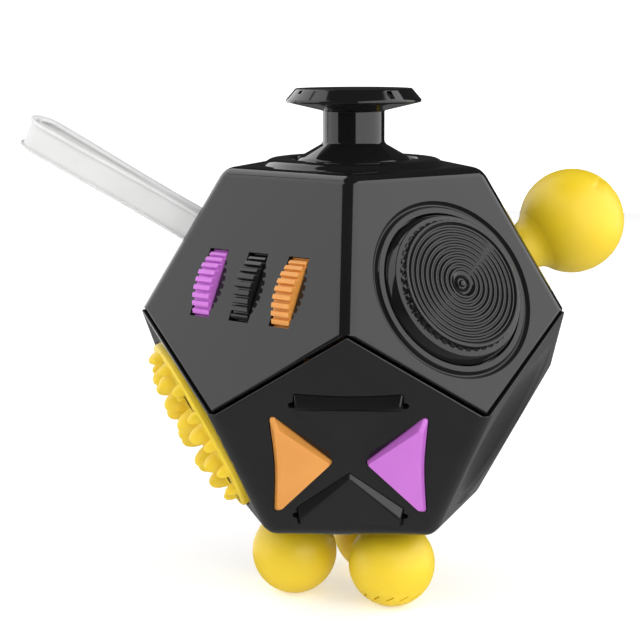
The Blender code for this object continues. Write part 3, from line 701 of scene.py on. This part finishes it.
def buildBall(name, face, spot, ball, node, swirled=False, slitted=False):
    radius, out, neck, flare = ball["radius"], ball["out"], ball["neck"], ball["flare"]
    stop = 180 - 180 / pi * (neck + flare) / radius
    profile = arc(radius, 0, stop, 72 if swirled else 44, (0, out))
    profile[0] = (0, out + radius)
    neckTop = profile[-1][1]
    root = max(0.0, neckTop - flare * 1.6)
    bend = [profile[-1], (neck + flare * 0.25, neckTop - flare * 0.6), (neck, root), (neck, -1.0)]
    profile = profile[:-1] + smoothPath(bend, 2)
    wide = neck + balls["plugWider"]
    low = -casing["wall"] - 0.3
    profile += [(neck, low), (wide, low), (wide, low - balls["plugThick"]), (0, low - balls["plugThick"])]

    def crease(turn, r, h):
        if h < out - radius * 0.6:
            return r, h
        depth = swirlDepth(degrees(atan2(r, h - out)), degrees(turn) % 360)
        return r * (1 - depth / radius), out + (h - out) * (1 - depth / radius)

    bm = lathe(profile, balls["sides"] if swirled else 96, wave=crease if swirled else None)
    mesh = toMesh("ball", bm, placed(face, (*spot, 0)), 50)
    if slitted:
        slits = balls["slits"]
        long, thin, deep = slits["size"]
        cutters = []
        for k in range(slits["count"]):
            turn, polar = slits["first"] + 360 * k / slits["count"], slits["polar"]
            cutter = prism(slotOutline(thin / 2, long / 2 - thin / 2), -deep / 2, deep / 2)
            aim = Matrix.Rotation(radians(90 + turn), 4, 'Z') @ Matrix.Rotation(radians(polar), 4, 'Y')
            lean = Matrix.Rotation(radians(slits["slant"]), 4, 'Z')
            cutter.transform(aim @ Matrix.Translation((0, 0, radius)) @ lean)
            cutters.append(toMesh("slit", cutter, placed(face, (*spot, out))))
        mesh = carve(mesh, cutters)
        mesh.shade_smooth()
        mesh.set_sharp_from_angle(angle=radians(50))
    showPiece(name, mesh, "yellowSilicone", "casing", node)


def buildBalls():
    buildBall("soft_ball", "ball", balls["squeeze"]["spot"], balls["squeeze"], "squeeze_ball", swirled=True)
    base = balls["base"]
    for k, turn in enumerate(base["turns"]):
        x, y, _ = around(base["ring"], turn)
        node = "base_ball_%d" % (k + 1)
        buildBall("foot_ball_%d" % (k + 1), "base", (x, -y), base, node, slitted=k == 0)


# wrist strap

strap = {
    "thick": 1.7, "width": 4.7, "level": 2.7, "tip": 35.4, "pinDepth": 4.4, "pinRadius": 1.2,
    "halfGap": ((0.0, 1.0), (5.0, 0.4), (14.0, 0.45), (25.0, 1.25)), "endGap": 1.5, "edgeRound": 0.4,
}


def strapContour(extra):
    # the loop seen along its width, extra outside the space between its legs
    tipCentre = strap["tip"] - strap["thick"] - strap["endGap"]
    right = smoothPath([(gap + extra, out) for out, gap in strap["halfGap"]], 2)
    left = [(-x, out) for x, out in reversed(right)]
    tip = arc(strap["endGap"] + extra, 90, -90, 20, (0, tipCentre))
    root = arc(strap["pinRadius"] + 0.3 + extra, 270, 90, 20, (0, -strap["pinDepth"]))
    return right + tip + left + root


def buildStrap():
    thick, halfWidth, edge = strap["thick"], strap["width"] / 2, strap["edgeRound"]
    corner = [(edge * (1 - sin(radians(a))), edge * (1 - cos(radians(a)))) for a in (0, 22.5, 45, 67.5, 90)]
    section = [(thick - a, halfWidth - b) for a, b in corner]
    section += [(a, halfWidth - b) for a, b in reversed(corner)]
    section += [(a, -halfWidth + b) for a, b in corner]
    section += [(thick - a, -halfWidth + b) for a, b in reversed(corner)]
    bm = bmesh.new()
    rings = []
    for (ox, oy), (ix, iy) in zip(strapContour(thick), strapContour(0.0)):
        rings.append([bm.verts.new((ix + (ox - ix) * depth / thick, -across, iy + (oy - iy) * depth / thick))
                      for depth, across in section])
    count = len(section)
    for k, ring in enumerate(rings):
        following = rings[(k + 1) % len(rings)]
        for j in range(count):
            n = (j + 1) % count
            bm.faces.new((ring[j], ring[n], following[n], following[j]))
    mesh = toMesh("strap", bm, placed("strap", (0, strap["level"], 0)), 60)
    showPiece("wrist_loop", mesh, "whiteSilicone", "casing", "strap_loop")


def strapSlot():
    across = 2 * (strap["pinRadius"] + 0.3 + strap["thick"] + 0.3)
    return [box("strap", (across, strap["width"] + 0.6, 8), (0, strap["level"], 0))]


# thumb dish

dish = {"radius": 11.6, "depth": 2.2, "lip": 1.1, "sides": 128}


def dishForms():
    radius, depth, lip = dish["radius"], dish["depth"], dish["lip"]
    bowlRadius = (radius ** 2 + depth ** 2) / (2 * depth)
    bowl = [(0, 3), (radius + lip + 0.6, 3), (radius + lip + 0.1, 0.02), (radius + lip * 0.7, -0.03),
            (radius + lip * 0.35, -0.1), (radius + lip * 0.1, -0.2)]
    steps = 16
    for k in range(steps):
        r = radius * 0.97 * (1 - k / steps)
        bowl.append((r, bowlRadius - depth - sqrt(bowlRadius ** 2 - r ** 2)))
    bowl.append((0, -depth))
    backing = drill("dish", radius + 1.2, -depth - casing["wall"], -1, sides=dish["sides"])
    return [backing], [toMesh("bowl", lathe(bowl, dish["sides"]), placed("dish"))]


# rocker, slider and roller ball

rocker = {"across": 6.2, "along": 12.2, "pivotDepth": 4.2, "scoop": 26.0}
slider = {"radius": 4.6, "travel": 3.5, "stem": 2.2, "ribs": 30, "ribDepth": 0.12}
roller = {"radius": 6.0, "depth": 3.5}


def buildRocker():
    paddle = box("rocker", (rocker["across"], rocker["along"], 7.9), (0, 0, -2.45))
    bore = prism(circle(1.1, 32), -8, 8)
    scoop = prism(circle(rocker["scoop"], 200), -8, 8)
    cutters = [toMesh("bore", bore, placed("rocker", (0, 0, -rocker["pivotDepth"]), (0, 90, 0))),
               toMesh("scoop", scoop, placed("rocker", (0, 0, rocker["scoop"] + 0.75), (0, 90, 0)))]
    mesh = rounded(carve(paddle, cutters), 0.6, 4, 50)
    evened(showPiece("rocker_key", mesh, "orangePlastic", "rocker", "rocker_paddle"))


def buildSlider():
    radius, stem = slider["radius"], slider["stem"]
    profile = [(0, 1.65), (1.2, 1.66), (2.3, 1.78), (3.1, 2.1), (3.5, 2.34), (3.8, 2.4), (4.15, 2.3),
               (4.45, 2.05), (radius, 1.7), (radius, 0.5), (radius - 0.15, 0.32), (stem, 0.3), (stem, -2.35),
               (1.0, -2.35), (1.0, 0.8), (0, 0.8)]

    def grip(turn, r, h):
        ribbed = r > 4.0 and h > 0.4
        return (r - slider["ribDepth"] * max(0.0, cos(slider["ribs"] * turn)) if ribbed else r), h

    mesh = toMesh("slider", lathe(profile, 180, wave=grip), placed("slider"), 50)
    showPiece("slider_button", mesh, "purplePlastic", "slider", "slider_knob")


def buildRoller():
    bm = bmesh.new()
    bmesh.ops.create_icosphere(bm, subdivisions=5, radius=roller["radius"])
    mesh = toMesh("roller", bm, placed("roller", (0, 0, -roller["depth"])), 80)
    showPiece("rolling_ball", mesh, "yellowSilicone", "roller", "roller_ball")


def backOpenings():
    # the rocker's window in the upper half, the slider's slot and the roller's mouth in the lower
    window = box("rocker", (rocker["across"] + 0.6, rocker["along"] + 2.8, 8))
    slot = prism(slotOutline(slider["stem"] + 0.3, slider["travel"]), -4, 4)
    mouth = sqrt(roller["radius"] ** 2 - roller["depth"] ** 2) + 0.3
    inside = sqrt(roller["radius"] ** 2 - (roller["depth"] - casing["wall"]) ** 2) + 0.3
    slope = (inside - mouth) / casing["wall"]
    cone = [(0, 1), (mouth - slope, 1), (inside + slope, -3), (0, -3)]
    lower = [toMesh("slot", slot, placed("slider")), toMesh("mouth", lathe(cone, 96), placed("roller"))]
    return [window], lower


buildStick()
buildWheels()
buildDial()
print("joystick, wheels and dial made")
buildButtons()
buildPad()
buildBalls()
buildStrap()
print("buttons, nub pad, balls and strap made")
buildRocker()
buildSlider()
buildRoller()
print("rocker, slider and roller ball made")


# casing halves, with every opening and seat that the toys need

def casingHalf(name, side):
    golden = (1 + sqrt(5)) / 2
    ringRadius = casing["acrossFlats"] / sqrt(2.5 + 1.1 * sqrt(5)) / (2 * sin(radians(36)))
    belt = half - ringRadius
    bm = bmesh.new()
    for k in range(5):
        bm.verts.new(around(ringRadius, 72 * k, half))
        bm.verts.new(around(golden * ringRadius, 72 * k, belt))
        bm.verts.new(around(golden * ringRadius, 72 * k + 36, -belt))
        bm.verts.new(around(ringRadius, 72 * k + 36, -half))
    bmesh.ops.convex_hull(bm, input=bm.verts)
    bmesh.ops.dissolve_limit(bm, angle_limit=radians(1), verts=bm.verts, edges=bm.edges)
    away = [face for face in bm.faces if face.normal.z * side < 0]
    bmesh.ops.delete(bm, geom=away, context='FACES')
    outer = set(bm.faces)
    lining = bmesh.ops.duplicate(bm, geom=bm.faces[:])["geom"]
    innerVerts = [item for item in lining if isinstance(item, bmesh.types.BMVert)]
    innerFaces = [item for item in lining if isinstance(item, bmesh.types.BMFace)]
    bmesh.ops.scale(bm, vec=Vector((1, 1, 1)) * (1 - casing["wall"] / half), verts=innerVerts)
    bmesh.ops.reverse_faces(bm, faces=innerFaces)
    bmesh.ops.bridge_loops(bm, edges=[item for item in bm.edges if item.is_boundary])
    rim = casing["upperRim" if side > 0 else "lowerRim"]
    weight = bm.edges.layers.float.new("bevel_weight_edge")
    for item in bm.edges:
        outside = sum(1 for face in item.link_faces if face in outer)
        item[weight] = (0.0, rim / casing["edgeRound"], 1.0)[outside]
    shift = Matrix.Translation(bodyCentre + Vector((0, 0, side * casing["seamGap"] / 2 * mm)))
    item = guide(toMesh(name, bm, shift))
    bevel = item.modifiers.new("Round", 'BEVEL')
    bevel.width = casing["edgeRound"] * mm
    bevel.segments = 6
    bevel.limit_method = 'WEIGHT'
    return settle(item)


def finishShell(name, side, adders, cutters, node):
    mesh = carve(casingHalf(name, side), cutters, adders)
    mesh = rounded(mesh, casing["openingRound"], 2, 70)
    evened(showPiece(name, mesh, "polishedBlack", "casing", node))


def buildShells():
    rockerWindow, lowerOpenings = backOpenings()
    squeeze, base = balls["squeeze"], balls["base"]
    adders, cutters = stickSeat()
    cutters += wheelSlots() + dialSeat() + strapSlot() + rockerWindow
    cutters.append(drill("ball", squeeze["neck"] + 0.3, -4, 1, squeeze["spot"], 48))
    finishShell("upper_casing", 1, adders, cutters, "upper_shell")
    backing, bowl = dishForms()
    adders, cutters = buttonWindows()
    cutters += bowl + padSeat() + lowerOpenings
    for turn in base["turns"]:
        x, y, _ = around(base["ring"], turn)
        cutters.append(drill("base", base["neck"] + 0.3, -4, 1, (x, -y), 40))
    finishShell("lower_casing", -1, adders + backing, cutters, "lower_shell")


buildShells()
print("casing moulded")

hidden = {
    "mouldedBlack": ("joystick_post", "joystick_gimbal", "joystick_housing", "gear_cradle", "dial_washer",
                     "button_backplate", "rocker_bracket", "slider_retainer", "roller_cup"),
    "greyRubber": ("button_dome_left", "button_dome_right", "button_dome_top", "button_dome_bottom"),
    "springSteel": ("joystick_cross_pin", "joystick_screw_1", "joystick_screw_2", "joystick_screw_3",
                    "joystick_spring", "gear_axle", "gear_click_leaf", "dial_screw", "backplate_screw_left",
                    "backplate_screw_right", "pad_clip", "strap_pin", "rocker_pin", "rocker_spring",
                    "slider_screw"),
}
for finish, nodes in hidden.items():
    for node in nodes:
        item = frame["nodes"][node]
        item.data.materials.clear()
        item.data.materials.append(paints[finish])
print("inner pieces finished")


# studio: a white sweep, three tall soft panels and a dim sky that is lighter below the horizon

studio = {
    "floorRadius": 0.55, "wallRadius": 1.7, "wallHeight": 1.6, "sweepBend": 0.5,
    "floorColour": (0.85, 0.85, 0.85), "floorGlow": 0.36, "wallGlow": 1.0,
    "panelDistance": 0.6, "panelLow": -0.2, "panelHigh": 1.2,
    "panels": {
        "leftPanel": {"turn": -86, "halfSpread": 27, "glow": 1.65},
        "rearPanel": {"turn": -138, "halfSpread": 22, "glow": 1.65},
        "rightPanel": {"turn": 68, "halfSpread": 59, "glow": 2.05},
    },
    "fill": {"turn": -18, "lift": 38, "distance": 0.8, "size": (0.9, 0.6), "glow": 1.75},
    "sky": ((0.0, 0.42), (0.06, 0.36), (0.32, 0.2), (0.47, 0.03), (1.0, 0.05)),
}


def stagePaint(name, glow):
    paint = bpy.data.materials.new(name)
    paint.use_nodes = True
    shader = paint.node_tree.nodes["Principled BSDF"]
    shader.inputs["Base Color"].default_value = (*studio["floorColour"], 1)
    shader.inputs["Roughness"].default_value = 0.9
    shader.inputs["Specular IOR Level"].default_value = 0.1
    shader.inputs["Emission Color"].default_value = (1, 1, 1, 1)
    shader.inputs["Emission Strength"].default_value = glow
    return paint


def buildStage():
    low, far, bend = studio["floorRadius"], studio["wallRadius"], studio["sweepBend"]
    wall = [(low, 0), (far - bend, 0)]
    for turn in range(10, 100, 10):
        wall.append((far - bend + bend * sin(radians(turn)), bend - bend * cos(radians(turn))))
    wall.append((far, studio["wallHeight"]))
    outlines = {"floor": [(0, 0), (low, 0)], "backdrop": wall}
    for name, outline in outlines.items():
        bm = lathe([(r / mm, h / mm) for r, h in outline], 96)
        mesh = toMesh(name, bm, Matrix.Identity(4), 60)
        mesh.materials.append(stagePaint(name, studio["floorGlow" if name == "floor" else "wallGlow"]))
        item = bpy.data.objects.new(name, mesh)
        bpy.context.scene.collection.objects.link(item)
        item.visible_glossy = False  # the polished faces reflect the panels, not the stage
        item.visible_diffuse = name == "floor"


def buildPanels():
    distance, low, high = studio["panelDistance"], studio["panelLow"], studio["panelHigh"]
    height = high - low
    for name, panel in studio["panels"].items():
        width = 2 * distance * tan(radians(panel["halfSpread"]))
        lamp = bpy.data.lights.new(name, 'AREA')
        lamp.shape = 'RECTANGLE'
        lamp.size, lamp.size_y = width, height
        lamp.energy = panel["glow"] * pi * width * height
        item = bpy.data.objects.new(name, lamp)
        away = around(1.0, panel["turn"])
        item.location = bodyCentre + away * distance + Vector((0, 0, (high + low) / 2))
        item.rotation_euler = away.to_track_quat('Z', 'Y').to_euler()
        item.visible_camera = False
        bpy.context.scene.collection.objects.link(item)


def buildFill():
    # a soft front light that the polished faces don't show
    fill = studio["fill"]
    lamp = bpy.data.lights.new("fill", 'AREA')
    lamp.shape = 'RECTANGLE'
    lamp.size, lamp.size_y = fill["size"]
    lamp.energy = fill["glow"] * pi * lamp.size * lamp.size_y
    item = bpy.data.objects.new("fill", lamp)
    away = around(cos(radians(fill["lift"])), fill["turn"], sin(radians(fill["lift"])))
    item.location = bodyCentre + away * fill["distance"]
    item.rotation_euler = away.to_track_quat('Z', 'Y').to_euler()
    item.visible_camera = False
    item.visible_glossy = False
    bpy.context.scene.collection.objects.link(item)


def buildSky():
    world = bpy.data.worlds.new("sky")
    world.use_nodes = True
    tree = world.node_tree
    place = tree.nodes.new("ShaderNodeTexCoord")
    split = tree.nodes.new("ShaderNodeSeparateXYZ")
    span = tree.nodes.new("ShaderNodeMapRange")
    ramp = tree.nodes.new("ShaderNodeValToRGB")
    span.inputs["From Min"].default_value = -1
    while len(ramp.color_ramp.elements) < len(studio["sky"]):
        ramp.color_ramp.elements.new(0.5)
    for element, (position, glow) in zip(ramp.color_ramp.elements, studio["sky"]):
        element.position = position
        element.color = (glow, glow, glow, 1)
    tree.links.new(place.outputs["Generated"], split.inputs["Vector"])
    tree.links.new(split.outputs["Z"], span.inputs["Value"])
    tree.links.new(span.outputs["Result"], ramp.inputs["Fac"])
    tree.links.new(ramp.outputs["Color"], tree.nodes["Background"].inputs["Color"])
    bpy.context.scene.world = world


cameraSetting = {
    "distance": 0.23218, "turn": 2.7434, "lift": 9.8208, "roll": -0.1895,
    "right": -0.0048675, "up": 0.0026044, "lens": 90.19,
}


def buildCamera():
    lift, turn = radians(cameraSetting["lift"]), radians(cameraSetting["turn"])
    back = around(cos(lift), cameraSetting["turn"], sin(lift))
    level = Vector((cos(turn), sin(turn), 0))
    climb = back.cross(level)
    roll = Matrix.Rotation(radians(cameraSetting["roll"]), 3, 'Z')
    basis = Matrix((level, climb, back)).transposed() @ roll
    lens = bpy.data.cameras.new("camera")
    lens.lens = cameraSetting["lens"]
    lens.sensor_width = 36
    lens.clip_start = 0.01
    lens.dof.use_dof = False
    item = bpy.data.objects.new("camera", lens)
    spot = bodyCentre + back * cameraSetting["distance"]
    spot += level * cameraSetting["right"] + climb * cameraSetting["up"]
    item.matrix_world = Matrix.Translation(spot) @ basis.to_4x4()
    bpy.context.scene.collection.objects.link(item)
    bpy.context.scene.camera = item


buildStage()
buildPanels()
buildFill()
buildSky()
buildCamera()
bpy.context.scene.view_settings.view_transform = 'Standard'
print("studio and camera set")
